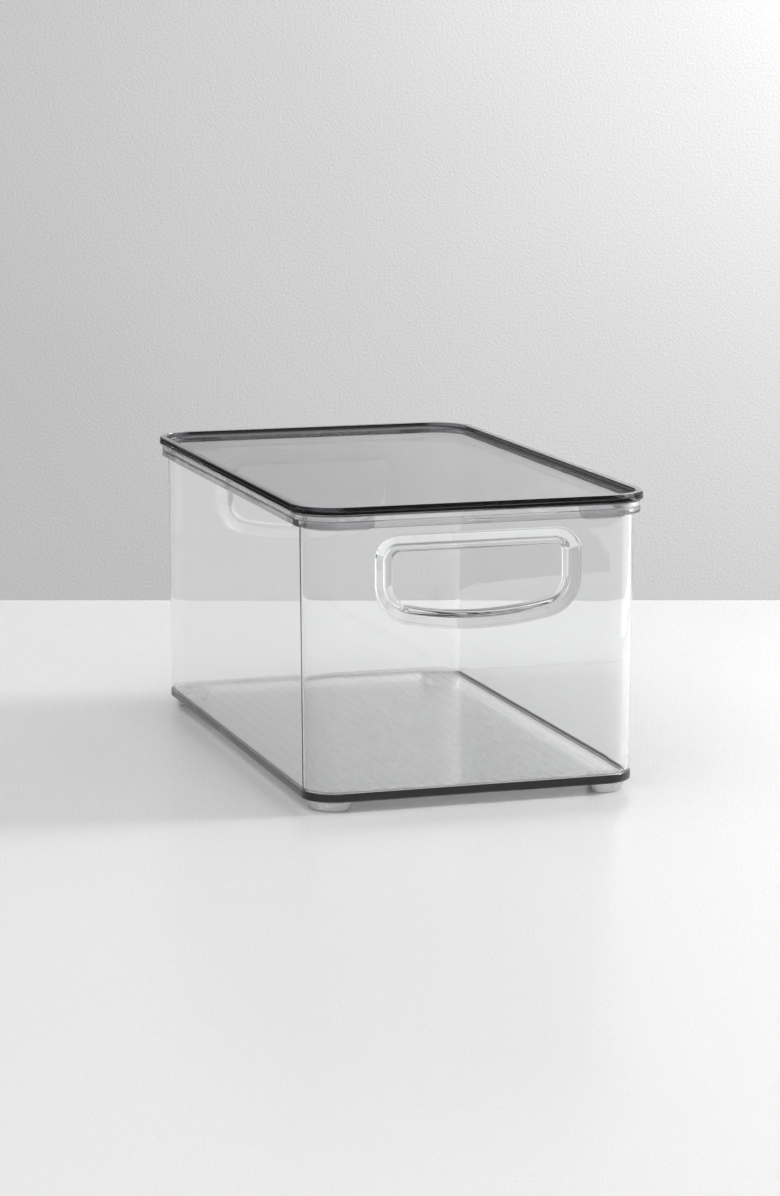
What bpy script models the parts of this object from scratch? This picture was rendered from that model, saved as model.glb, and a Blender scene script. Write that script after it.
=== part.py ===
"""Clear stackable storage bin with a lift-off lid.

Units are metres, +Z is up, the origin is under the middle of the bin at table level.
X runs across the short ends, Y along the long sides, and the -Y end is the front.
"""

import math

import bmesh
import bpy
from mathutils import Matrix, Vector

# Reference outline: the outer face of the wall just under the collar.
WALL_HALF_X = 0.095
WALL_HALF_Y = 0.163
WALL_CORNER_R = 0.0195
WALL_THICK = 0.0022
DRAFT = 0.0011

# Heights above the table.
BASE_Z = 0.0060
FLANGE_TOP_Z = 0.0106
FLOOR_TOP_Z = 0.0094
COLLAR_Z = 0.1550
LEDGE_Z = 0.1586
RIM_Z = 0.1621
LIP_Z = 0.1624
LID_TOP_Z = 0.1670

# Offsets outward from the reference outline.
COLLAR_OUT = 0.0034
COLLAR_IN = 0.0019
FLANGE_OUT = -0.0004
LIP_OUT = 0.0050
LIP_IN = 0.0006
PLUG_OUT = 0.0016

# Floor ribs, which run the long way.
RIB_PITCH = 0.0080
RIB_COUNT = 21
RIB_WIDTH = 0.0024
RIB_HEIGHT = 0.0003
RIB_END_GAP = 0.0080

# Handle: a D-shaped hole with a thick rounded bead round it.
HANDLE_HALF_X = 0.0536
HANDLE_TOP_Z = 0.1458
HANDLE_SHOULDER_Z = 0.1066
HANDLE_SAG = 0.0040
HANDLE_TOP_R = 0.0093
HANDLE_LOW_R = 0.0170
HANDLE_FACE_Y = 0.16275

# Lid.
PANEL_TOP_Z = 0.1638
PANEL_UNDER_Z = 0.1613
PLUG_Z = 0.1589
PLUG_WALL = 0.0022
LUG_Z = 0.1536
LUG_THICK = 0.0019
LUG_OFFSET = -0.0027
LUG_ALONG_END = 0.0370
LUG_ALONG_SIDE = 0.0340
LUG_ROUND = 0.0045

# Feet.
FOOT_SIZE = 0.0230
FOOT_INSET = 0.0026
FOOT_OUTER_R = 0.0165
FOOT_INNER_R = 0.0050
FOOT_TOP_Z = 0.0057
FOOT_EDGE = 0.0009
FOOT_TAPER = 0.0021

CORNER_STEPS = 9


def clear_scene():
    for obj in list(bpy.data.objects):
        bpy.data.objects.remove(obj, do_unlink=True)


def new_collection(name):
    collection = bpy.data.collections.new(name)
    bpy.context.scene.collection.children.link(collection)
    return collection


def plastic(name, colour, roughness):
    material = bpy.data.materials.new(name)
    material.use_nodes = True
    shader = material.node_tree.nodes["Principled BSDF"]
    shader.inputs["Base Color"].default_value = (*colour, 1.0)
    shader.inputs["Roughness"].default_value = roughness
    shader.inputs["Metallic"].default_value = 0.0
    shader.inputs["Transmission Weight"].default_value = 1.0
    shader.inputs["IOR"].default_value = 1.57
    return material


def rounded_rectangle(half_x, half_y, radius, steps=CORNER_STEPS):
    """Counter-clockwise points, the same number for every size."""
    points = []
    corners = ((1, 1, 0.0), (-1, 1, 90.0), (-1, -1, 180.0), (1, -1, 270.0))
    for sign_x, sign_y, start in corners:
        centre_x = sign_x * (half_x - radius)
        centre_y = sign_y * (half_y - radius)
        for step in range(steps + 1):
            angle = math.radians(start + 90.0 * step / steps)
            x = centre_x + radius * math.cos(angle)
            y = centre_y + radius * math.sin(angle)
            points.append((x, y))
    return points


def offset_outline(offset):
    return rounded_rectangle(
        WALL_HALF_X + offset, WALL_HALF_Y + offset, WALL_CORNER_R + offset
    )


def mesh_object(name, mesh, collection):
    obj = bpy.data.objects.new(name, mesh)
    collection.objects.link(obj)
    return obj


def loft(name, rings, collection):
    """Closed body through rings of points that all have the same count."""
    bm = bmesh.new()
    rows = [[bm.verts.new(point) for point in ring] for ring in rings]
    count = len(rows[0])
    for lower, upper in zip(rows, rows[1:]):
        for i in range(count):
            j = (i + 1) % count
            bm.faces.new((lower[i], lower[j], upper[j], upper[i]))
    bm.faces.new(list(reversed(rows[0])))
    bm.faces.new(rows[-1])
    bmesh.ops.recalc_face_normals(bm, faces=bm.faces)
    mesh = bpy.data.meshes.new(name)
    bm.to_mesh(mesh)
    bm.free()
    return mesh_object(name, mesh, collection)


def stack(name, levels, collection):
    """Closed loft through rounded rectangles, each level an (offset, height)."""
    rings = []
    for offset, height in levels:
        rings.append([(x, y, height) for x, y in offset_outline(offset)])
    return loft(name, rings, collection)


def box(name, size, centre, collection):
    bm = bmesh.new()
    bmesh.ops.create_cube(bm, size=1.0)
    bmesh.ops.scale(bm, vec=size, verts=bm.verts)
    bmesh.ops.translate(bm, vec=centre, verts=bm.verts)
    mesh = bpy.data.meshes.new(name)
    bm.to_mesh(mesh)
    bm.free()
    return mesh_object(name, mesh, collection)


def lens(name, size, centre, collection):
    """Low oval bump, a squashed sphere."""
    bm = bmesh.new()
    bmesh.ops.create_uvsphere(bm, u_segments=16, v_segments=8, radius=0.5)
    bmesh.ops.scale(bm, vec=size, verts=bm.verts)
    bmesh.ops.translate(bm, vec=centre, verts=bm.verts)
    mesh = bpy.data.meshes.new(name)
    bm.to_mesh(mesh)
    bm.free()
    return mesh_object(name, mesh, collection)


def curve_to_mesh(curve_object, name, collection):
    """Mesh of a curve with its caps welded, in place of the curve."""
    graph = bpy.context.evaluated_depsgraph_get()
    graph.update()
    mesh = bpy.data.meshes.new_from_object(curve_object.evaluated_get(graph))
    bm = bmesh.new()
    bm.from_mesh(mesh)
    bmesh.ops.remove_doubles(bm, verts=bm.verts, dist=1e-6)
    bmesh.ops.recalc_face_normals(bm, faces=bm.faces)
    bm.to_mesh(mesh)
    bm.free()
    obj = mesh_object(name, mesh, collection)
    obj.matrix_world = curve_object.matrix_world.copy()
    bpy.data.objects.remove(curve_object, do_unlink=True)
    return obj


def closed_curve(name, points, collection):
    curve = bpy.data.curves.new(name, "CURVE")
    curve.dimensions = "2D"
    spline = curve.splines.new("POLY")
    spline.points.add(len(points) - 1)
    for point, (x, y) in zip(spline.points, points):
        point.co = (x, y, 0.0, 1.0)
    spline.use_cyclic_u = True
    obj = bpy.data.objects.new(name, curve)
    collection.objects.link(obj)
    return obj


def prism(name, points, thickness, matrix, collection):
    """Flat outline given a thickness, centred on its own plane."""
    outline = closed_curve(name + "_outline", points, collection)
    outline.data.fill_mode = "BOTH"
    outline.data.extrude = thickness / 2.0
    outline.matrix_world = matrix
    bpy.context.view_layer.update()
    return curve_to_mesh(outline, name, collection)


def combine(target, other, operation, cutters):
    """Booleans other into target at once, and keeps other as a hidden cutter."""
    modifier = target.modifiers.new(operation.title() + "_" + other.name, "BOOLEAN")
    modifier.operation = operation
    modifier.solver = "EXACT"
    modifier.object = other
    other.hide_render = True
    other.display_type = "WIRE"
    for collection in list(other.users_collection):
        collection.objects.unlink(other)
    cutters.objects.link(other)


def arc(centre, radius, start, end, steps):
    points = []
    for step in range(steps + 1):
        angle = math.radians(start + (end - start) * step / steps)
        x = centre[0] + radius * math.cos(angle)
        y = centre[1] + radius * math.sin(angle)
        points.append((x, y))
    return points


def handle_outline(grow):
    """Counter-clockwise D outline in (x, z): flat top, round ends, shallow belly."""
    half = HANDLE_HALF_X + grow
    top = HANDLE_TOP_Z + grow
    top_r = HANDLE_TOP_R + grow
    low_r = HANDLE_LOW_R + grow
    shoulder = HANDLE_SHOULDER_Z - grow
    chord = half - low_r * 0.86
    belly_r = (chord * chord + HANDLE_SAG * HANDLE_SAG) / (2.0 * HANDLE_SAG)
    belly_centre = (0.0, shoulder - HANDLE_SAG + belly_r)
    reach = belly_r - low_r
    # The low corner arc touches the end's straight side and the belly arc.
    centre_x = half - low_r
    centre_z = belly_centre[1] - math.sqrt(reach * reach - centre_x * centre_x)
    touch = math.degrees(math.atan2(centre_z - belly_centre[1], centre_x))
    right = arc((centre_x, centre_z), low_r, touch, 0.0, 8)
    right += arc((half - top_r, top - top_r), top_r, 0.0, 90.0, 6)
    left = [(-x, z) for x, z in reversed(right)]
    belly_start = 180.0 - touch - 360.0
    belly = arc(belly_centre, belly_r, belly_start, touch, 12)[1:-1]
    return right + left + belly


def bead_profile():
    """Section of the handle's bead: x away from the hole, y out of the wall."""
    slope = ((5.2, -1.1), (5.2, 0.3), (-1.2, 2.27), (-2.3, 2.4))
    nose = ((-3.5, 2.08), (-4.4, 1.2), (-4.7, 0.0))
    back_nose = ((-4.7, -4.0), (-4.25, -5.1), (-3.1, -5.6), (-2.6, -5.55))
    back_side = ((-1.8, -5.2), (-1.4, -4.2), (-1.4, -3.0), (-0.9, -2.5), (3.5, -2.5))
    section = slope + nose + back_nose + back_side
    return [(x * 0.001, y * 0.001) for x, y in section]


def handle_bead(name, collection):
    """Bead swept round the D outline, one closed ring lying in the XY plane."""
    section = closed_curve(name + "_section", bead_profile(), collection)
    path = closed_curve(name + "_path", handle_outline(0.0), collection)
    path.data.bevel_mode = "OBJECT"
    path.data.bevel_object = section
    path.data.fill_mode = "NONE"
    bpy.context.view_layer.update()
    ring = curve_to_mesh(path, name, collection)
    bpy.data.objects.remove(section, do_unlink=True)
    return ring


def end_matrix(back):
    """Stands an XY outline up in the front wall, or in the back wall."""
    upright = Matrix.Rotation(math.radians(90.0), 4, "X")
    placed = Matrix.Translation((0.0, -HANDLE_FACE_Y, 0.0)) @ upright
    if back:
        placed = Matrix.Rotation(math.radians(180.0), 4, "Z") @ placed
    return placed


def build_body(parts, cutters, material):
    outer_levels = (
        (FLANGE_OUT - 0.0007, BASE_Z),
        (FLANGE_OUT - 0.0002, BASE_Z + 0.0002),
        (FLANGE_OUT, BASE_Z + 0.0007),
        (FLANGE_OUT, FLANGE_TOP_Z - 0.0005),
        (FLANGE_OUT - 0.0005, FLANGE_TOP_Z),
        (-DRAFT, FLANGE_TOP_Z + 0.0001),
        (0.0, COLLAR_Z - 0.0004),
        (0.0005, COLLAR_Z),
        (COLLAR_OUT - 0.0006, COLLAR_Z + 0.0001),
        (COLLAR_OUT, COLLAR_Z + 0.0007),
        (COLLAR_OUT, RIM_Z - 0.0006),
        (COLLAR_OUT - 0.0006, RIM_Z),
    )
    body = stack("bin_body", outer_levels, parts)

    inner_top = -WALL_THICK
    inner_low = -DRAFT - WALL_THICK
    cavity_levels = (
        (inner_low - 0.0022, FLOOR_TOP_Z),
        (inner_low - 0.0012, FLOOR_TOP_Z + 0.0003),
        (inner_low - 0.0003, FLOOR_TOP_Z + 0.0012),
        (inner_low, FLOOR_TOP_Z + 0.0022),
        (inner_top, LEDGE_Z - 0.0006),
        (inner_top + 0.0006, LEDGE_Z),
        (COLLAR_IN, LEDGE_Z + 0.0001),
        (COLLAR_IN, RIM_Z - 0.0003),
        (COLLAR_IN + 0.0003, RIM_Z),
        (COLLAR_IN + 0.0003, RIM_Z + 0.0040),
    )
    combine(body, stack("cavity", cavity_levels, cutters), "DIFFERENCE", cutters)

    rib_length = 2.0 * (WALL_HALF_Y + inner_low - RIB_END_GAP)
    rib_centre_z = FLOOR_TOP_Z + (RIB_HEIGHT - 0.0010) / 2.0
    for index in range(RIB_COUNT):
        x = (index - (RIB_COUNT - 1) / 2.0) * RIB_PITCH
        size = Vector((RIB_WIDTH, rib_length, RIB_HEIGHT + 0.0010))
        centre = Vector((x, 0.0, rib_centre_z))
        rib = box(f"floor_rib_{index + 1}", size, centre, cutters)
        combine(body, rib, "UNION", cutters)

    for back in (False, True):
        side = "back" if back else "front"
        sign = 1.0 if back else -1.0
        matrix = end_matrix(back)
        hole = prism(
            f"handle_hole_{side}", handle_outline(0.0), 0.0300, matrix, cutters
        )
        combine(body, hole, "DIFFERENCE", cutters)
        bead = handle_bead(f"handle_bead_{side}", cutters)
        bead.matrix_world = matrix @ bead.matrix_world
        combine(body, bead, "UNION", cutters)
        stop = Vector((0.0, sign * (WALL_HALF_Y + COLLAR_OUT - 0.0002), 0.1568))
        size = Vector((0.0150, 0.0018, 0.0024))
        combine(body, lens(f"stop_{side}", size, stop, cutters), "UNION", cutters)

    body.data.materials.append(material)
    return body


def lug_strip(name, sign_x, sign_y, collection):
    """Upright strip that follows one inside corner, its lower ends rounded."""
    radius = WALL_CORNER_R + LUG_OFFSET
    half_x = WALL_HALF_X + LUG_OFFSET
    half_y = WALL_HALF_Y + LUG_OFFSET
    end_x = half_x - LUG_ALONG_END + 0.0030
    end_y = half_y - LUG_ALONG_SIDE
    centre = (half_x - radius, half_y - radius)
    straight = [0.0, 0.0008, 0.0020, 0.0034, LUG_ROUND]
    outline = [(half_x, end_y + step) for step in straight]
    outline += arc(centre, radius, 0.0, 90.0, CORNER_STEPS)
    outline += [(end_x + step, half_y) for step in reversed(straight)]
    bm = bmesh.new()
    columns = []
    travelled = 0.0
    lengths = [0.0]
    for first, second in zip(outline, outline[1:]):
        travelled += math.dist(first, second)
        lengths.append(travelled)
    for (x, y), length in zip(outline, lengths):
        from_end = min(length, travelled - length)
        inside = max(0.0, LUG_ROUND - from_end)
        lift = LUG_ROUND - math.sqrt(LUG_ROUND**2 - inside**2)
        place = (sign_x * x, sign_y * y)
        low = bm.verts.new((*place, LUG_Z + lift))
        high = bm.verts.new((*place, PANEL_UNDER_Z + 0.0012))
        columns.append((low, high))
    for (low_a, high_a), (low_b, high_b) in zip(columns, columns[1:]):
        bm.faces.new((low_a, low_b, high_b, high_a))
    if sign_x * sign_y < 0:
        bmesh.ops.reverse_faces(bm, faces=bm.faces)
    mesh = bpy.data.meshes.new(name)
    bm.to_mesh(mesh)
    bm.free()
    strip = mesh_object(name, mesh, collection)
    shell = strip.modifiers.new("Thickness", "SOLIDIFY")
    shell.thickness = LUG_THICK
    shell.offset = -1.0
    shell.use_even_offset = True
    return strip


def build_lid(parts, cutters, material):
    lip_levels = (
        (LIP_OUT - 0.0004, LIP_Z),
        (LIP_OUT, LIP_Z + 0.0004),
        (LIP_OUT, LID_TOP_Z - 0.0006),
        (LIP_OUT - 0.0002, LID_TOP_Z - 0.0002),
        (LIP_OUT - 0.0006, LID_TOP_Z),
    )
    lid = stack("lid", lip_levels, parts)

    plug_levels = (
        (PLUG_OUT - 0.0005, PLUG_Z),
        (PLUG_OUT, PLUG_Z + 0.0005),
        (PLUG_OUT, LIP_Z + 0.0010),
    )
    combine(lid, stack("lid_plug", plug_levels, cutters), "UNION", cutters)

    recess_levels = (
        (LIP_IN - 0.0013, PANEL_TOP_Z),
        (LIP_IN - 0.0004, PANEL_TOP_Z + 0.0004),
        (LIP_IN, PANEL_TOP_Z + 0.0013),
        (LIP_IN, LID_TOP_Z - 0.0005),
        (LIP_IN + 0.0005, LID_TOP_Z),
        (LIP_IN + 0.0005, LID_TOP_Z + 0.0030),
    )
    combine(lid, stack("lid_recess", recess_levels, cutters), "DIFFERENCE", cutters)

    under_levels = (
        (PLUG_OUT - PLUG_WALL, PLUG_Z - 0.0030),
        (PLUG_OUT - PLUG_WALL, PANEL_UNDER_Z),
    )
    combine(lid, stack("lid_underside", under_levels, cutters), "DIFFERENCE", cutters)

    for sign_x in (-1, 1):
        for sign_y in (-1, 1):
            end = "front" if sign_y < 0 else "back"
            hand = "left" if sign_x < 0 else "right"
            lug = lug_strip(f"lug_{end}_{hand}", sign_x, sign_y, cutters)
            combine(lid, lug, "UNION", cutters)

    lid.data.materials.append(material)
    return lid


def foot_outline(inset):
    """Counter-clockwise pad outline for the +X +Y corner, the big radius outside."""
    far_x = WALL_HALF_X + FLANGE_OUT - FOOT_INSET - inset
    far_y = WALL_HALF_Y + FLANGE_OUT - FOOT_INSET - inset
    near_x = far_x - FOOT_SIZE + 2.0 * inset
    near_y = far_y - FOOT_SIZE + 2.0 * inset
    big = FOOT_OUTER_R - inset
    small = FOOT_INNER_R - inset
    points = arc((far_x - big, far_y - big), big, 0.0, 90.0, CORNER_STEPS)
    points += arc((near_x + small, far_y - small), small, 90.0, 180.0, 4)
    points += arc((near_x + small, near_y + small), small, 180.0, 270.0, 4)
    points += arc((far_x - small, near_y + small), small, 270.0, 360.0, 4)
    return points


def build_foot(name, sign_x, sign_y, parts, material):
    """Pad that narrows towards the table, with its two rims eased."""
    levels = (
        (FOOT_TAPER + FOOT_EDGE * 0.8, 0.0),
        (FOOT_TAPER, FOOT_EDGE * 0.8),
        (FOOT_EDGE * 0.2, FOOT_TOP_Z - FOOT_EDGE * 0.5),
        (FOOT_EDGE * 0.5, FOOT_TOP_Z),
    )
    rings = []
    for inset, height in levels:
        rings.append([(sign_x * x, sign_y * y, height) for x, y in foot_outline(inset)])
    foot = loft(name, rings, parts)
    foot.data.materials.append(material)
    return foot


def main():
    clear_scene()
    parts = new_collection("stackable_storage_bin")
    cutters = new_collection("cutters")
    body_plastic = plastic("bin_clear_plastic", (0.90, 0.91, 0.92), 0.04)
    lid_plastic = plastic("lid_smoke_plastic", (0.60, 0.61, 0.63), 0.04)

    lift = bpy.data.objects.new("lid_lift_origin", None)
    lift.location = (0.0, 0.0, LIP_Z)
    parts.objects.link(lift)
    bpy.context.view_layer.update()

    body = build_body(parts, cutters, body_plastic)
    lid = build_lid(parts, cutters, lid_plastic)
    lid.parent = lift
    lid.matrix_parent_inverse = lift.matrix_world.inverted()

    for sign_y, end in ((-1, "front"), (1, "back")):
        for sign_x, hand in ((-1, "left"), (1, "right")):
            name = f"foot_{end}_{hand}"
            foot_plastic = plastic(name + "_plastic", (0.93, 0.94, 0.95), 0.18)
            build_foot(name, sign_x, sign_y, parts, foot_plastic)

    for obj in (body, lid):
        obj.data.shade_smooth()
        obj.data.set_sharp_from_angle(angle=math.radians(30.0))


main()
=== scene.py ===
"""Looks for the clear stackable storage bin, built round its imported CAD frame.

Units are metres. Sections are given as (offset, height, fillet radius). The offset runs
outward from the outline, which is the outer face of the wall just under the collar.
"""

import math

import bmesh
import bpy
from mathutils import Matrix, Vector


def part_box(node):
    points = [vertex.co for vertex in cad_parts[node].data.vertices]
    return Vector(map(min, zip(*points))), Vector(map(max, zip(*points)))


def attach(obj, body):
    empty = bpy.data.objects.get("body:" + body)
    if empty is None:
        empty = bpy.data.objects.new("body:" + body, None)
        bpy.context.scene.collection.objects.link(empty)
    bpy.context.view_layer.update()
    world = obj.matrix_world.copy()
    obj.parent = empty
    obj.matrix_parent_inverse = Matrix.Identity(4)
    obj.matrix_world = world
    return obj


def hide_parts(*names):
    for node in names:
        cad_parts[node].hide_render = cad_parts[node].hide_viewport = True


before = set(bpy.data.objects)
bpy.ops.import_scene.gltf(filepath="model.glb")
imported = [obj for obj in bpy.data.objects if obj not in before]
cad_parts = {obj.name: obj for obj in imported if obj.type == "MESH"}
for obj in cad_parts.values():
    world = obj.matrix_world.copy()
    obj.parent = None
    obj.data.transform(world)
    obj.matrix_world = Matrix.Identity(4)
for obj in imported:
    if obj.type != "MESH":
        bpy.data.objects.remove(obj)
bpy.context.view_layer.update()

# Outline. Its outer sizes and its heights are read from the frame.
lid_low, lid_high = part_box("lid")
body_low, body_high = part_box("bin_body")
LIP_OUT = 0.0050
HALF_X = lid_high.x - LIP_OUT
HALF_Y = lid_high.y - LIP_OUT
CORNER_R = 0.0195
LID_TOP = lid_high.z
BASE = body_low.z
RIM = body_high.z

# Bin body, offsets and heights.
WALL = 0.0022
DRAFT = 0.0011
FLANGE_OUT = -0.0004
FLANGE_TOP = BASE + 0.0046
FLOOR_TOP = BASE + 0.0034
COLLAR_LOW = RIM - 0.0071
LEDGE = RIM - 0.0035
COLLAR_OUT = 0.0034
COLLAR_IN = 0.0019
FLOOR_EDGE = -0.0095
UNDER_EDGE = -0.0060
STOP_SIZE = (0.0150, 0.0018, 0.0024)
STOP_SINK = 0.0002
STOP_RISE = 0.0018

# Floor ribs.
RIB_PITCH = 0.0080
RIB_COUNT = 21
RIB_HALF = 0.0030
RIB_HEIGHT = 0.00006
RIB_SINK = 0.00002
RIB_ROOT = 0.0010
RIB_REACH = HALF_Y - 0.0113
RIB_RUN_IN = 0.0040
RIB_END_RISE = 0.05
RIB_STEPS = 12

# Handle ring. Its heights are above the table.
HANDLE_HALF = 0.0536
HANDLE_TOP = 0.1458
HANDLE_SHOULDER = 0.1066
HANDLE_SAG = 0.0040
HANDLE_TOP_R = 0.0093
HANDLE_LOW_R = 0.0170
HANDLE_CHORD_TRIM = 0.86
HANDLE_LOW_STEPS = 16
HANDLE_TOP_STEPS = 14
HANDLE_BELLY_STEPS = 24
HANDLE_FACE = HALF_Y - 0.00025
HOLE_DEPTH = 0.0150

# Lid, offsets and heights.
LIP_IN = 0.0006
LIP_LOW = RIM + 0.0003
SKIRT_OUT = 0.0016
SKIRT_IN = -0.0006
SKIRT_LOW = LIP_LOW - 0.0035
PANEL_TOP = LID_TOP - 0.0032
PANEL_LOW = LID_TOP - 0.0057
BAND_LOW = LIP_LOW + 0.0009
BAND_SPLIT = LID_TOP - 0.0023
BAND_STEP = 0.00018
BAND_CREASE = 0.00008
LUG_OUT = -0.0027
LUG_THICK = 0.0019
LUG_LOW = lid_low.z
LUG_RUN = 0.0340
LUG_ROUND = 0.0045
LUG_ROUND_STEPS = 6
LUG_ROOT = 0.0012
PANEL_EDGE = -0.0120

# Places in the lid's list of materials.
PANEL, EDGE, BAND, LUGS, SKIRT, INNER = range(6)

# Upward or downward share of a face's normal, 0 for upright faces and 1 for level ones.
UPRIGHT = 0.15
LEVEL = 0.85
SKIRT_LEVEL = 0.9

# Feet.
FOOT_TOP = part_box("foot_front_left")[1].z
FOOT_TAPER = 0.0021
FOOT_EDGE = -0.0060
FOOT_OUTER_R = 0.0165
FOOT_INNER_R = 0.0062
FOOT_CORNER_STEPS = 10

CORNER_STEPS = 24
FILLET_STEPS = 5
SHARP_ANGLE = 35.0
HAIR = 0.0001


# ---------------------------------------------------------------- shapes


def arc(centre, radius, start, end, steps):
    """Points on a circle from one angle to another, both in degrees."""
    points = []
    for step in range(steps + 1):
        angle = math.radians(start + (end - start) * step / steps)
        x = centre[0] + radius * math.cos(angle)
        y = centre[1] + radius * math.sin(angle)
        points.append((x, y))
    return points


def outline(offset):
    """Counter-clockwise rounded rectangle, the same number of points at any offset."""
    radius = CORNER_R + offset
    reach_x = HALF_X - CORNER_R
    reach_y = HALF_Y - CORNER_R
    points = []
    for sign_x, sign_y, start in ((1, 1, 0), (-1, 1, 90), (-1, -1, 180), (1, -1, 270)):
        centre = (sign_x * reach_x, sign_y * reach_y)
        points += arc(centre, radius, start, start + 90, CORNER_STEPS)
    return points


def filleted(corners):
    """Replaces each (offset, height, radius) corner of an open section with an arc."""
    points = [Vector(corners[0][:2])]
    for before, corner, after in zip(corners, corners[1:], corners[2:]):
        tip = Vector(corner[:2])
        if corner[2] == 0:
            points.append(tip)
            continue
        back = (Vector(before[:2]) - tip).normalized()
        ahead = (Vector(after[:2]) - tip).normalized()
        half_angle = back.angle(ahead) / 2.0
        radius = corner[2]
        reach = radius / math.tan(half_angle)
        centre = tip + (back + ahead).normalized() * radius / math.sin(half_angle)
        first = tip + back * reach - centre
        last = tip + ahead * reach - centre
        turn = first.angle(last)
        for step in range(FILLET_STEPS + 1):
            share = step / FILLET_STEPS
            spoke = first * math.sin((1.0 - share) * turn) + last * math.sin(share * turn)
            points.append(centre + spoke / math.sin(turn))
    points.append(Vector(corners[-1][:2]))
    return points


def skin(bm, rings, closed):
    """Quads between each ring of points and the next, and last to first if closed."""
    rows = [[bm.verts.new(point) for point in ring] for ring in rings]
    pairs = list(zip(rows, rows[1:]))
    if closed:
        pairs.append((rows[-1], rows[0]))
    count = len(rows[0])
    for lower, upper in pairs:
        for i in range(count):
            j = (i + 1) % count
            bm.faces.new((lower[i], lower[j], upper[j], upper[i]))
    return rows


def capped(bm, rings):
    """Skin over the rings, its first and last rings filled flat."""
    rows = skin(bm, rings, closed=False)
    bm.faces.new(rows[0])
    bm.faces.new(rows[-1])


def mesh_object(name, bm):
    bmesh.ops.recalc_face_normals(bm, faces=bm.faces)
    mesh = bpy.data.meshes.new(name)
    bm.to_mesh(mesh)
    bm.free()
    obj = bpy.data.objects.new(name, mesh)
    bpy.context.scene.collection.objects.link(obj)
    return obj


def moulding(name, section):
    """Closed body whose section is swept round the bin's outline."""
    bm = bmesh.new()
    capped(bm, [[(x, y, z) for x, y in outline(offset)] for offset, z in section])
    return mesh_object(name, bm)


def combine(target, other, operation):
    """Booleans other into target and deletes it once the result is applied."""
    modifier = target.modifiers.new(operation.title(), "BOOLEAN")
    modifier.operation = operation
    modifier.solver = "EXACT"
    modifier.object = other
    graph = bpy.context.evaluated_depsgraph_get()
    graph.update()
    mesh = bpy.data.meshes.new_from_object(target.evaluated_get(graph))
    target.modifiers.clear()
    target.data = mesh
    bpy.data.objects.remove(other, do_unlink=True)


def handle_outline(grow):
    """Counter-clockwise D outline in (x, z): flat top, round ends, shallow belly."""
    half = HANDLE_HALF + grow
    top = HANDLE_TOP + grow
    top_r = HANDLE_TOP_R + grow
    low_r = HANDLE_LOW_R + grow
    shoulder = HANDLE_SHOULDER - grow
    chord = half - low_r * HANDLE_CHORD_TRIM
    belly_r = (chord * chord + HANDLE_SAG * HANDLE_SAG) / (2.0 * HANDLE_SAG)
    belly_centre = (0.0, shoulder - HANDLE_SAG + belly_r)
    reach = belly_r - low_r
    centre_x = half - low_r
    centre_z = belly_centre[1] - math.sqrt(reach * reach - centre_x * centre_x)
    touch = math.degrees(math.atan2(centre_z - belly_centre[1], centre_x))
    right = arc((centre_x, centre_z), low_r, touch, 0.0, HANDLE_LOW_STEPS)
    right += arc((half - top_r, top - top_r), top_r, 0.0, 90.0, HANDLE_TOP_STEPS)
    left = [(-x, z) for x, z in reversed(right)]
    belly = arc(belly_centre, belly_r, -180.0 - touch, touch, HANDLE_BELLY_STEPS)
    return right + left + belly[1:-1]


def bead_section():
    """Closed section of the handle's bead: x away from the hole, y out of the wall.

    The third number is a fillet. It ends where it starts, so that point is dropped.
    """
    slope = [(0.0052, -0.0013, 0), (0.0052, 0.0003, 0.0002), (-0.0016, 0.0024, 0.0030)]
    nose = [(-0.0047, 0.0024, 0.0024), (-0.0047, -0.0056, 0.0016)]
    inside = [(-0.0014, -0.0056, 0.0014), (-0.0014, -0.0025, 0.0005)]
    back = [(0.0035, -0.0025, 0), (0.0052, -0.0013, 0)]
    return filleted(slope + nose + inside + back)[:-1]


def handle_ring(side):
    """Bead swept round the handle's outline, at the +Y or the -Y end."""
    bm = bmesh.new()
    rings = []
    for grow, out in bead_section():
        y = side * (HANDLE_FACE + out)
        rings.append([(x, y, z) for x, z in handle_outline(grow)])
    skin(bm, rings, closed=True)
    return mesh_object("handle_ring", bm)


def handle_hole(side):
    """Block that cuts the end wall open along the middle of the bead."""
    bm = bmesh.new()
    rings = []
    for out in (-HOLE_DEPTH, HOLE_DEPTH):
        y = side * (HANDLE_FACE + out)
        rings.append([(x, y, z) for x, z in handle_outline(0.0)])
    capped(bm, rings)
    return mesh_object("handle_hole", bm)


def floor_ribs():
    """Low rounded ribs that run the long way, their ends sloped into the floor."""
    bm = bmesh.new()
    run = RIB_REACH - RIB_RUN_IN
    stations = ((-RIB_REACH, RIB_END_RISE), (-run, 1.0), (run, 1.0), (RIB_REACH, RIB_END_RISE))
    for index in range(RIB_COUNT):
        x = (index - (RIB_COUNT - 1) / 2.0) * RIB_PITCH
        capped(bm, [rib_ring(x, y, rise) for y, rise in stations])
    return mesh_object("floor_ribs", bm)


def rib_ring(x, y, rise):
    """Cross-section of a rib: a cosine crown over a root sunk into the floor."""
    ring = []
    for step in range(RIB_STEPS + 1):
        across = 1.0 - 2.0 * step / RIB_STEPS
        crown = 0.5 + 0.5 * math.cos(math.pi * across)
        height = (crown * RIB_HEIGHT - RIB_SINK) * rise
        ring.append((x + across * RIB_HALF, y, FLOOR_TOP + height))
    ring.append((x - RIB_HALF, y, FLOOR_TOP - RIB_ROOT))
    ring.append((x + RIB_HALF, y, FLOOR_TOP - RIB_ROOT))
    return ring


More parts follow.
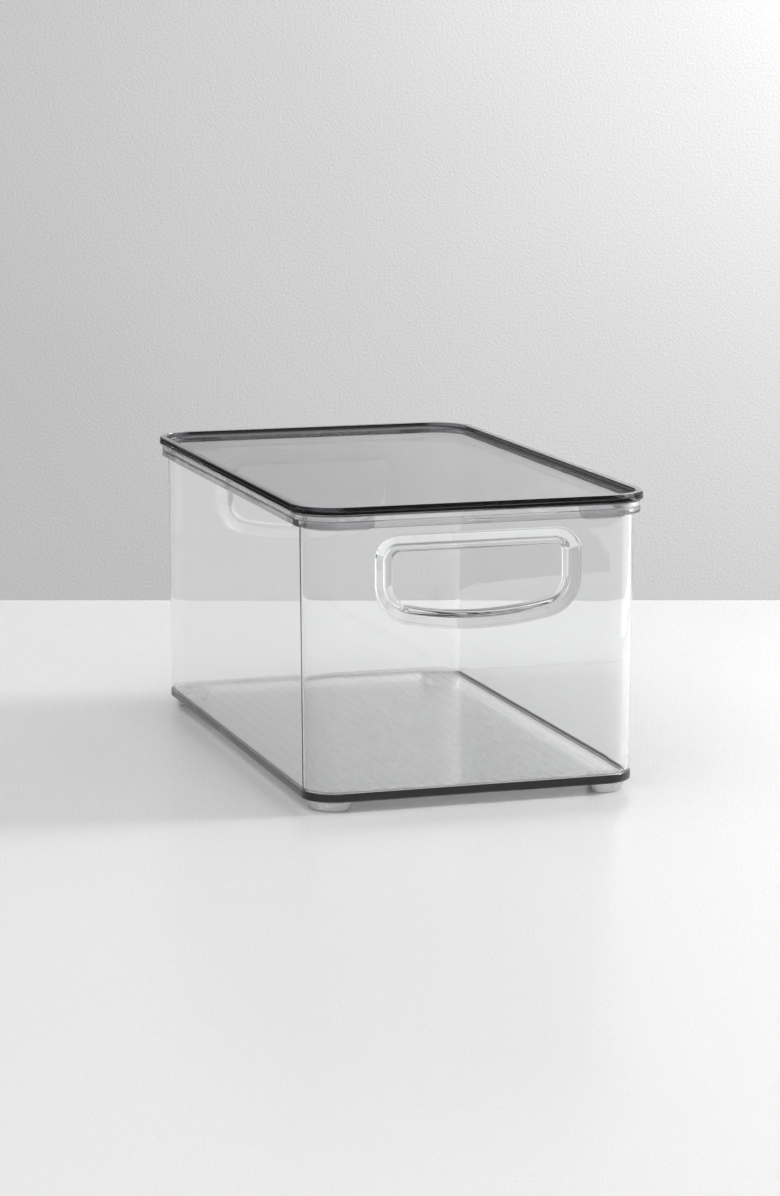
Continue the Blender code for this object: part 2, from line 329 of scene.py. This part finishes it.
def stop(side):
    """Low oval bump at the middle of the collar's face, at the +Y or the -Y end."""
    centre = (0.0, side * (HALF_Y + COLLAR_OUT - STOP_SINK), COLLAR_LOW + STOP_RISE)
    bm = bmesh.new()
    bmesh.ops.create_uvsphere(bm, u_segments=32, v_segments=16, radius=0.5)
    bmesh.ops.scale(bm, vec=STOP_SIZE, verts=bm.verts)
    bmesh.ops.translate(bm, vec=centre, verts=bm.verts)
    return mesh_object("stop", bm)


def corner_lugs():
    """Upright strips inside the four corners, hanging from the panel."""
    bm = bmesh.new()
    for sign_x in (-1, 1):
        for sign_y in (-1, 1):
            corner_lug(bm, sign_x, sign_y)
    return mesh_object("corner_lugs", bm)


def lug_line(offset):
    """Points from the side run, round the corner, to the end run, for +X +Y."""
    radius = CORNER_R + offset
    half_x = HALF_X + offset
    half_y = HALF_Y + offset
    end_x = HALF_X + LUG_OUT - LUG_RUN
    end_y = HALF_Y + LUG_OUT - LUG_RUN
    turns = [math.radians(90.0 * i / LUG_ROUND_STEPS) for i in range(LUG_ROUND_STEPS + 1)]
    steps = [LUG_ROUND * (1.0 - math.cos(turn)) for turn in turns]
    points = [(half_x, end_y + step) for step in steps]
    points += arc((half_x - radius, half_y - radius), radius, 0.0, 90.0, CORNER_STEPS)
    points += [(end_x + step, half_y) for step in reversed(steps)]
    return points


def corner_lug(bm, sign_x, sign_y):
    """One lug, its two lower ends rounded off."""
    outer = lug_line(LUG_OUT)
    inner = lug_line(LUG_OUT - LUG_THICK)
    travelled = [0.0]
    for first, second in zip(outer, outer[1:]):
        travelled.append(travelled[-1] + math.dist(first, second))
    rings = []
    for i, along in enumerate(travelled):
        inside = max(0.0, LUG_ROUND - min(along, travelled[-1] - along))
        low = LUG_LOW + LUG_ROUND - math.sqrt(LUG_ROUND**2 - inside**2)
        high = PANEL_LOW + LUG_ROOT
        out_x, out_y = sign_x * outer[i][0], sign_y * outer[i][1]
        in_x, in_y = sign_x * inner[i][0], sign_y * inner[i][1]
        ring = [(out_x, out_y, low), (out_x, out_y, high)]
        ring += [(in_x, in_y, high), (in_x, in_y, low)]
        rings.append(ring)
    capped(bm, rings)


def smooth(obj):
    """Round edges shade smooth while the broad flat faces keep their own normals."""
    obj.data.shade_smooth()
    obj.data.set_sharp_from_angle(angle=math.radians(SHARP_ANGLE))
    normals = obj.modifiers.new("Flat faces stay flat", "WEIGHTED_NORMAL")
    normals.keep_sharp = True
    normals.weight = 100


# ---------------------------------------------------------------- pieces


def build_body():
    inner_low = -DRAFT - WALL
    section = filleted(
        [
            (UNDER_EDGE, BASE, 0),
            (FLANGE_OUT, BASE, 0.0008),
            (FLANGE_OUT, FLANGE_TOP, 0.0004),
            (-DRAFT, FLANGE_TOP, 0.0002),
            (0.0, COLLAR_LOW, 0.0006),
            (COLLAR_OUT, COLLAR_LOW, 0.0008),
            (COLLAR_OUT, RIM, 0.0006),
            (COLLAR_IN, RIM, 0.0004),
            (COLLAR_IN, LEDGE, 0.0004),
            (-WALL, LEDGE, 0.0008),
            (inner_low, FLOOR_TOP, 0.0024),
            (FLOOR_EDGE, FLOOR_TOP, 0),
        ]
    )
    body = moulding("clear_bin_body", section)
    combine(body, floor_ribs(), "UNION")
    for side in (-1, 1):
        combine(body, handle_hole(side), "DIFFERENCE")
        combine(body, handle_ring(side), "UNION")
        combine(body, stop(side), "UNION")
    smooth(body)
    return body


def build_lid():
    section = filleted(
        [
            (PANEL_EDGE, PANEL_LOW, 0),
            (SKIRT_IN, PANEL_LOW, 0.0002),
            (SKIRT_IN, SKIRT_LOW, 0.0002),
            (SKIRT_OUT, SKIRT_LOW, 0.0005),
            (SKIRT_OUT, LIP_LOW, 0.0003),
            (LIP_OUT, LIP_LOW, 0.0007),
            (LIP_OUT, BAND_LOW, 0),
            (LIP_OUT, BAND_SPLIT, BAND_CREASE),
            (LIP_OUT - BAND_STEP, BAND_SPLIT + BAND_STEP, BAND_CREASE),
            (LIP_OUT - BAND_STEP, LID_TOP, 0.0007),
            (LIP_IN, LID_TOP, 0.0005),
            (LIP_IN, PANEL_TOP, 0.0010),
            (PANEL_EDGE, PANEL_TOP, 0),
        ]
    )
    lid = moulding("smoke_lid", section)
    combine(lid, corner_lugs(), "UNION")
    smooth(lid)
    return lid


def lid_zone(face):
    """Place of a lid face in the list of lid materials."""
    height = face.center.z
    level = abs(face.normal.z)
    outward = face.normal.x * face.center.x + face.normal.y * face.center.y
    if height < SKIRT_LOW - HAIR:
        return LUGS
    if height < LIP_LOW and level < SKIRT_LEVEL:
        return SKIRT
    if height < BAND_LOW or level > LEVEL:
        return PANEL
    if outward < 0 and level < UPRIGHT:
        return INNER
    return EDGE if height > BAND_SPLIT + BAND_STEP else BAND


def build_foot(node):
    """Tapered square pad in its CAD foot's place, roundest at the bin's corner."""
    low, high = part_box(node)
    centre = (low + high) / 2.0
    half = (high.x - low.x) / 2.0
    sign_x = math.copysign(1.0, centre.x)
    sign_y = math.copysign(1.0, centre.y)
    section = filleted(
        [
            (FOOT_EDGE, 0.0, 0),
            (-FOOT_TAPER, 0.0, 0.0010),
            (0.0, FOOT_TOP, 0.0006),
            (FOOT_EDGE, FOOT_TOP, 0),
        ]
    )
    bm = bmesh.new()
    rings = []
    for offset, z in section:
        ring = pad_outline(half, offset)
        rings.append([(centre.x + sign_x * x, centre.y + sign_y * y, z) for x, y in ring])
    capped(bm, rings)
    foot = mesh_object("pad_" + node, bm)
    smooth(foot)
    return foot


def pad_outline(half, offset):
    """Square round the origin whose +X +Y corner has the larger radius."""
    ring = []
    for sign_x, sign_y, start in ((1, 1, 0), (-1, 1, 90), (-1, -1, 180), (1, -1, 270)):
        radius = FOOT_INNER_R if start else FOOT_OUTER_R
        corner = ((half - radius) * sign_x, (half - radius) * sign_y)
        ring += arc(corner, radius + offset, start, start + 90, FOOT_CORNER_STEPS)
    return ring


# ---------------------------------------------------------------- materials

NOISE_LOW = 0.3
NOISE_HIGH = 0.7
PAD_CLARITY = 0.45
# Fades of the masks that lay painted shade and painted light on the lip and the collar.
CORNER_FADE = 0.0060
SIDE_FADE_END = HALF_X + 0.0020
# Painted shade in the collar's solid lower half, more along the sides than the ends, and in a fine
# line at the rim.
COLLAR_FADE = 0.0002
COLLAR_SHADE_AT_ENDS = 0.3
COLLAR_SHADE_AT_SIDES = 0.6
RIM_LINE_START = RIM - 0.0007
RIM_LINE_FULL = RIM - 0.0003
# Faint painted shade along the floor ribs.
RIB_SHADE = 0.1
RIB_CROWN_START = 0.3
RIB_SHADE_TOP = FLOOR_TOP + 0.0008
RIB_SHADE_FULL = FLOOR_TOP + 0.0004


def grey(value):
    return (value, value, value)


def new_material(name):
    material = bpy.data.materials.new(name)
    material.use_nodes = True
    tree = material.node_tree
    return material, tree, tree.nodes["Principled BSDF"]


def noise(tree, coords, scale, detail):
    node = tree.nodes.new("ShaderNodeTexNoise")
    node.inputs["Scale"].default_value = scale
    node.inputs["Detail"].default_value = detail
    tree.links.new(coords, node.inputs["Vector"])
    return node.outputs["Fac"]


def ramp(tree, value, start, end, low=0.0, high=1.0):
    """low up to start, high from end on, a straight slope between."""
    node = tree.nodes.new("ShaderNodeMapRange")
    node.inputs["From Min"].default_value = start
    node.inputs["From Max"].default_value = end
    node.inputs["To Min"].default_value = low
    node.inputs["To Max"].default_value = high
    tree.links.new(value, node.inputs["Value"])
    return node.outputs["Result"]


def spread(tree, value, low, high):
    """Maps the middle of a noise, where nearly all of it lies, to a range."""
    return ramp(tree, value, NOISE_LOW, NOISE_HIGH, low, high)


def blend_colours(tree, share, first, second):
    """The first colour where the share is 0, the second where it is 1."""
    node = tree.nodes.new("ShaderNodeMix")
    node.data_type = "RGBA"
    node.inputs["A"].default_value = (*first, 1.0)
    node.inputs["B"].default_value = (*second, 1.0)
    tree.links.new(share, node.inputs["Factor"])
    return node.outputs["Result"]


def add_bump(tree, shader, height, distance):
    node = tree.nodes.new("ShaderNodeBump")
    node.inputs["Distance"].default_value = distance
    tree.links.new(height, node.inputs["Height"])
    tree.links.new(node.outputs["Normal"], shader.inputs["Normal"])


def calculate(tree, operation, first, second=None):
    """Maths node on one socket, or on a socket and either another socket or a number."""
    node = tree.nodes.new("ShaderNodeMath")
    node.operation = operation
    tree.links.new(first, node.inputs[0])
    if isinstance(second, float):
        node.inputs[1].default_value = second
    elif second is not None:
        tree.links.new(second, node.inputs[1])
    return node.outputs["Value"]


def axis_of(tree, coords, axis):
    """One of the coordinates X, Y or Z."""
    node = tree.nodes.new("ShaderNodeSeparateXYZ")
    tree.links.new(coords, node.inputs["Vector"])
    return node.outputs[axis]


def at_corners(tree, coords):
    """1 round the four upright corners, 0 along the straight runs."""
    across = calculate(tree, "ABSOLUTE", axis_of(tree, coords, "X"))
    along = calculate(tree, "ABSOLUTE", axis_of(tree, coords, "Y"))
    start_x = HALF_X - CORNER_R
    start_y = HALF_Y - CORNER_R
    past_x = ramp(tree, across, start_x, start_x + CORNER_FADE)
    past_y = ramp(tree, along, start_y, start_y + CORNER_FADE)
    return calculate(tree, "MULTIPLY", past_x, past_y)


def at_sides(tree, coords):
    """0 along the two ends, rising round the corners to about 1 along the long sides."""
    across = calculate(tree, "ABSOLUTE", axis_of(tree, coords, "X"))
    return ramp(tree, across, HALF_X - CORNER_R, SIDE_FADE_END)


def at_collar(tree, coords):
    """Painted shade: 1 in a fine line at the rim, part of it in the solid lower half, 0 elsewhere.

    The lower half gets more painted shade along the sides than along the ends.
    """
    height = axis_of(tree, coords, "Z")
    above = ramp(tree, height, COLLAR_LOW - COLLAR_FADE, COLLAR_LOW + COLLAR_FADE)
    below = ramp(tree, height, LEDGE + COLLAR_FADE, LEDGE - 2.0 * COLLAR_FADE)
    rim = ramp(tree, height, RIM_LINE_START, RIM_LINE_FULL)
    sides = at_sides(tree, coords)
    side_shade = ramp(tree, sides, 0.0, 1.0, COLLAR_SHADE_AT_ENDS, COLLAR_SHADE_AT_SIDES)
    solid = calculate(tree, "MULTIPLY", calculate(tree, "MULTIPLY", above, below), side_shade)
    return calculate(tree, "MAXIMUM", solid, rim)


def at_ribs(tree, coords):
    """Painted shade, 1 along each floor rib's crown and under it, 0 between ribs and higher up."""
    turn = 2.0 * math.pi / RIB_PITCH
    across = calculate(tree, "MULTIPLY", axis_of(tree, coords, "X"), turn)
    crown = ramp(tree, calculate(tree, "COSINE", across), RIB_CROWN_START, 1.0)
    height = axis_of(tree, coords, "Z")
    floor = ramp(tree, height, RIB_SHADE_TOP, RIB_SHADE_FULL)
    return calculate(tree, "MULTIPLY", crown, floor)


def at_painted_shade(tree, coords):
    """Painted shade in the collar and at the rim, and a faint painted shade along the floor ribs.
    """
    ribs = calculate(tree, "MULTIPLY", at_ribs(tree, coords), RIB_SHADE)
    return calculate(tree, "MAXIMUM", at_collar(tree, coords), ribs)


def plastic(name, roughness, wave, ior, first, second, mask=None):
    """Clear moulding with slight waves and fine handling wear in its skin.

    Its colour goes from first to second by a mask of painted shade and light, or else with the
    waves.
    """
    material, tree, shader = new_material(name)
    coords = tree.nodes.new("ShaderNodeTexCoord").outputs["Object"]
    flow = noise(tree, coords, scale=9.0, detail=3.0)
    wear = noise(tree, coords, scale=160.0, detail=6.0)
    share = mask(tree, coords) if mask else spread(tree, flow, 0.0, 1.0)
    tree.links.new(blend_colours(tree, share, first, second), shader.inputs["Base Color"])
    tree.links.new(spread(tree, wear, *roughness), shader.inputs["Roughness"])
    add_bump(tree, shader, flow, wave)
    shader.inputs["Transmission Weight"].default_value = 1.0
    shader.inputs["IOR"].default_value = ior
    return material


def absorb_with_depth(material, colour, density):
    tree = material.node_tree
    volume = tree.nodes.new("ShaderNodeVolumeAbsorption")
    volume.inputs["Color"].default_value = (*colour, 1.0)
    volume.inputs["Density"].default_value = density
    tree.links.new(volume.outputs["Volume"], tree.nodes["Material Output"].inputs["Volume"])


def clear_plastic():
    material = plastic(
        "clear_plastic",
        roughness=(0.0, 0.03),
        wave=0.0002,
        ior=1.57,
        first=(0.995, 0.998, 0.998),
        # The second colour is painted shade, laid in by the mask.
        second=(0.25, 0.25, 0.26),
        mask=at_painted_shade,
    )
    absorb_with_depth(material, colour=(0.12, 0.16, 0.22), density=6.0)
    return material


def smoke_plastic():
    """Panel of the lid, and the lip's top and underside."""
    return plastic(
        "smoke_plastic",
        roughness=(0.0, 0.03),
        wave=0.00012,
        ior=1.30,
        first=(0.415, 0.42, 0.43),
        second=(0.445, 0.45, 0.46),
    )


def lip_edge_painted_shade():
    """Upper band of the lip, in painted shade that is nearly black along its straight runs.

    Painted light makes it greyer at the corners.
    """
    return plastic(
        "lip_edge_painted_shade",
        roughness=(0.0, 0.04),
        wave=0.0001,
        ior=1.14,
        first=(0.008, 0.008, 0.009),
        second=(0.24, 0.23, 0.26),
        mask=at_corners,
    )


def lip_band_painted_shade():
    """Lower band of the lip, in painted shade: nearly black along the sides, greyer at the ends."""
    return plastic(
        "lip_band_painted_shade",
        roughness=(0.0, 0.04),
        wave=0.0001,
        ior=1.24,
        first=(0.22, 0.22, 0.225),
        second=(0.006, 0.006, 0.007),
        mask=at_sides,
    )


def lip_inner_painted_shade():
    """Inner face of the lip, in painted shade: nearly black at the ends, greyer along the sides."""
    return plastic(
        "lip_inner_painted_shade",
        roughness=(0.0, 0.04),
        wave=0.0001,
        ior=1.57,
        first=(0.02, 0.02, 0.022),
        second=(0.24, 0.23, 0.26),
        mask=at_sides,
    )


def smoke_lug():
    return plastic(
        "smoke_lug",
        roughness=(0.0, 0.03),
        wave=0.0001,
        ior=1.57,
        first=(0.60, 0.60, 0.615),
        second=(0.66, 0.66, 0.675),
    )


def smoke_skirt():
    """Thin skirt inside the collar, which hardly shows its smoke colour."""
    return plastic(
        "smoke_skirt",
        roughness=(0.0, 0.03),
        wave=0.0001,
        ior=1.57,
        first=(0.95, 0.95, 0.955),
        second=(0.92, 0.92, 0.93),
    )


def pad_plastic():
    """Cloudy plastic of the feet, only part of which lets light through."""
    material = plastic(
        "pad_plastic",
        roughness=(0.22, 0.36),
        wave=0.0001,
        ior=1.50,
        first=grey(0.995),
        second=grey(0.98),
    )
    shader = material.node_tree.nodes["Principled BSDF"]
    shader.inputs["Transmission Weight"].default_value = PAD_CLARITY
    return material


def painted(name, colours, roughness, scale, distance):
    """Opaque surface with a fine grain and broad faint patches."""
    material, tree, shader = new_material(name)
    coords = tree.nodes.new("ShaderNodeTexCoord").outputs["Object"]
    grain = noise(tree, coords, scale, detail=4.0)
    patches = noise(tree, coords, scale=2.0, detail=2.0)
    colour = blend_colours(tree, spread(tree, patches, 0.0, 1.0), *colours)
    tree.links.new(colour, shader.inputs["Base Color"])
    tree.links.new(spread(tree, grain, *roughness), shader.inputs["Roughness"])
    add_bump(tree, shader, grain, distance)
    return material


# ---------------------------------------------------------------- studio

# The stage and the lamps are laid out square to the camera, which is turned from the
# bin by this angle, in radians.
VIEW_TURN = 0.305

STAGE_REACH = 9.0
TABLE_BACK = 0.483
WALL_BACK = 3.4
WALL_LOW = -3.0
WALL_HIGH = 6.0
WORLD_GREY = 0.56

# A pointed tongue of the table runs on behind its back edge, out of the camera's sight,
# where the bin's left wall mirrors it. A dark card beside it is mirrored by the lip.
TONGUE = ((-0.345, TABLE_BACK), (-0.757, 1.165), (-0.549, TABLE_BACK))
CARD = ((-0.591, 0.611), (-0.789, 1.240), (-0.899, 1.290), (-0.677, 0.584))

CAMERA_PLACE = (-0.6062, -1.9290, 0.4420)
CAMERA_DIP = 0.174
CAMERA_LENS = 106.07
CAMERA_SENSOR = 36.0
CAMERA_REACH = 50.0


def plane(name, corners, material):
    """Flat piece of the stage, given square to the camera and turned to the bin's axes."""
    bm = bmesh.new()
    bm.faces.new([bm.verts.new(corner) for corner in corners])
    obj = mesh_object(name, bm)
    obj.matrix_world = Matrix.Rotation(-VIEW_TURN, 4, "Z")
    obj.data.materials.append(material)
    return obj


def on_table(points):
    """Puts (x, y) points at the height of the table's top."""
    return [(x, y, 0.0) for x, y in points]


def build_table():
    material = painted(
        "table_white",
        colours=(grey(0.80), grey(0.82)),
        roughness=(0.24, 0.28),
        scale=900.0,
        distance=0.000003,
    )
    front = ((-STAGE_REACH, -STAGE_REACH), (STAGE_REACH, -STAGE_REACH))
    back = ((STAGE_REACH, TABLE_BACK), *TONGUE, (-STAGE_REACH, TABLE_BACK))
    plane("table", on_table(front + back), material)


def build_card():
    material = painted(
        "card_dark",
        colours=(grey(0.03), grey(0.04)),
        roughness=(0.7, 0.9),
        scale=260.0,
        distance=0.0006,
    )
    plane("card", on_table(CARD), material)


def build_wall():
    material = painted(
        "wall_grey",
        colours=(grey(0.58), grey(0.60)),
        roughness=(0.6, 0.8),
        scale=260.0,
        distance=0.0006,
    )
    left, right = -STAGE_REACH, STAGE_REACH
    corners = [(left, WALL_BACK, WALL_LOW), (right, WALL_BACK, WALL_LOW)]
    corners += [(right, WALL_BACK, WALL_HIGH), (left, WALL_BACK, WALL_HIGH)]
    plane("wall", corners, material)


def soft_lamp(name, place, aim, size, power):
    """White oblong lamp, hidden from the camera's own view."""
    lamp = bpy.data.lights.new(name, "AREA")
    lamp.shape = "RECTANGLE"
    lamp.size = size[0]
    lamp.size_y = size[1]
    lamp.energy = power
    obj = bpy.data.objects.new(name, lamp)
    bpy.context.scene.collection.objects.link(obj)
    turn = Matrix.Rotation(-VIEW_TURN, 3, "Z")
    obj.location = turn @ Vector(place)
    direction = turn @ (Vector(aim) - Vector(place))
    obj.rotation_euler = direction.to_track_quat("-Z", "Y").to_euler()
    obj.visible_camera = False


def build_lamps():
    soft_lamp(
        "key", place=(7.2, 1.6, 4.6), aim=(0.0, 0.0, 0.05), size=(2.0, 2.8), power=360.0
    )
    soft_lamp(
        "overhead", place=(-0.6, -0.9, 2.4), aim=(-0.6, -0.9, 0.0), size=(2.6, 2.6), power=25.0
    )
    soft_lamp(
        "side_card", place=(0.50, 0.10, 0.16), aim=(0.0, 0.10, 0.12), size=(0.5, 0.3), power=0.36
    )
    soft_lamp(
        "wall_wash", place=(1.5, 2.3, 1.25), aim=(0.7, WALL_BACK, 0.25), size=(0.8, 0.8), power=44.0
    )


def build_world():
    world = bpy.data.worlds.new("studio")
    world.use_nodes = True
    background = world.node_tree.nodes["Background"]
    background.inputs["Color"].default_value = (*grey(WORLD_GREY), 1.0)
    background.inputs["Strength"].default_value = 1.0
    bpy.context.scene.world = world


def build_studio():
    build_table()
    build_card()
    build_wall()
    build_world()
    build_lamps()


def build_camera():
    data = bpy.data.cameras.new("camera")
    data.sensor_width = CAMERA_SENSOR
    data.lens = CAMERA_LENS
    data.clip_end = CAMERA_REACH
    camera = bpy.data.objects.new("camera", data)
    bpy.context.scene.collection.objects.link(camera)
    camera.location = CAMERA_PLACE
    camera.rotation_euler = (math.radians(90.0) - CAMERA_DIP, 0.0, -VIEW_TURN)
    bpy.context.scene.camera = camera
    bpy.context.scene.view_settings.view_transform = "Standard"


def allow_clear_layers():
    """Enough bounces for light to pass through all the clear walls."""
    cycles = bpy.context.scene.cycles
    cycles.transmission_bounces = 20
    cycles.glossy_bounces = 8
    cycles.max_bounces = 24
    cycles.transparent_max_bounces = 24


def main():
    build_camera()
    allow_clear_layers()

    body = build_body()
    body.data.materials.clear()
    body.data.materials.append(clear_plastic())
    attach(body, "bin")
    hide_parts("bin_body")

    lid = build_lid()
    lid.data.materials.clear()
    # In the order of PANEL, EDGE, BAND, LUGS, SKIRT and INNER.
    for make in (smoke_plastic, lip_edge_painted_shade, lip_band_painted_shade, smoke_lug, smoke_skirt, lip_inner_painted_shade):
        lid.data.materials.append(make())
    for face in lid.data.polygons:
        face.material_index = lid_zone(face)
    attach(lid, "cover")
    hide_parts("lid")

    pad = pad_plastic()
    for end in ("front", "back"):
        for hand in ("left", "right"):
            node = f"foot_{end}_{hand}"
            foot = build_foot(node)
            foot.data.materials.append(pad)
            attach(foot, "bin")
            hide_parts(node)

    build_studio()


main()
